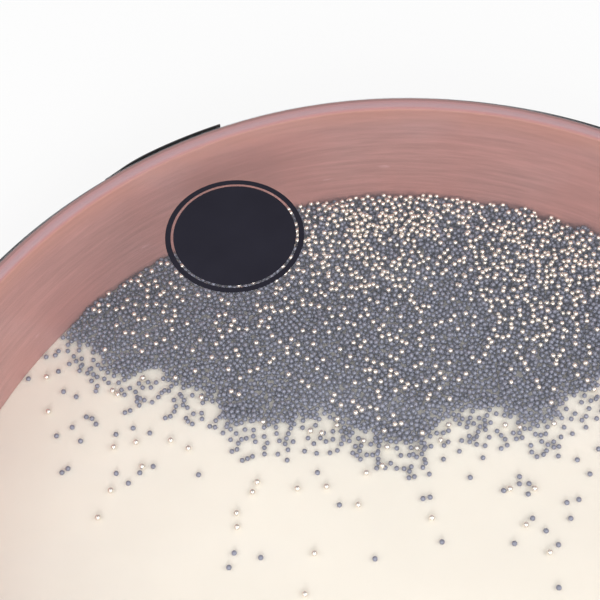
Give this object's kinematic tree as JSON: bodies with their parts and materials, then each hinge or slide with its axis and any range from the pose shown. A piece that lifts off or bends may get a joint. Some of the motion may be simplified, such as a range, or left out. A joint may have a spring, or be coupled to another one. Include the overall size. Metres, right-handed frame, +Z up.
{
  "type": "ocean drum",
  "caption": "Hand-held ocean drum: a shallow bent-wood hoop with a clear head above, a cream head below and loose steel balls that roll between them.",
  "frame": {"origin": "middle of the lower face of the lower head", "axes": "+Z up through the heads, +Y towards the drift of balls"},
  "size_m": [0.46, 0.46, 0.0763],
  "materials": {
    "wood": "satin stain",
    "clear_film": "clear glossy film",
    "cream_skin": "matt, faintly mottled",
    "adhesive": "satin",
    "black_tape": "matt",
    "black_print": "matt",
    "dark_steel": "blue-grey satin",
    "silver_steel": "bright polished"
  },
  "bodies": {
    "drum": {"shell_outer_ply": "wood", "shell_core_ply": "wood", "shell_inner_ply": "wood", "clear_head": "clear_film", "skin_head": "cream_skin", "clear_head_adhesive": "adhesive", "skin_head_adhesive": "adhesive", "upper_trim": "black_tape", "lower_trim": "black_tape", "round_patch": "black_print"},
    "drift": {"dark_balls_far_left": "dark_steel", "dark_balls_left": "dark_steel", "dark_balls_middle": "dark_steel", "dark_balls_right": "dark_steel", "dark_balls_far_right": "dark_steel"},
    "silver": {"silver_balls_left": "silver_steel", "silver_balls_right": "silver_steel"},
    "fringe": {"fringe_dark_balls": "dark_steel", "fringe_silver_balls": "silver_steel"},
    "strays": {"stray_dark_balls": "dark_steel", "stray_silver_balls": "silver_steel"}
  },
  "joints": [
    {"name": "drift_swirl", "type": "hinge", "parent": "drum", "child": "drift", "pos_m": [0, 0, 0.0025], "axis": [0, 0, 1], "continuous": true},
    {"name": "silver_drop", "type": "slide", "parent": "drift", "child": "silver", "axis": [0, 0, 1], "range_m": [0, 0.05]},
    {"name": "fringe_roll", "type": "slide", "parent": "drift", "child": "fringe", "axis": [0, -1, 0], "range_m": [0, 0.09]},
    {"name": "stray_roll", "type": "slide", "parent": "fringe", "child": "strays", "axis": [0, -1, 0], "range_m": [0, 0.06]}
  ]
}
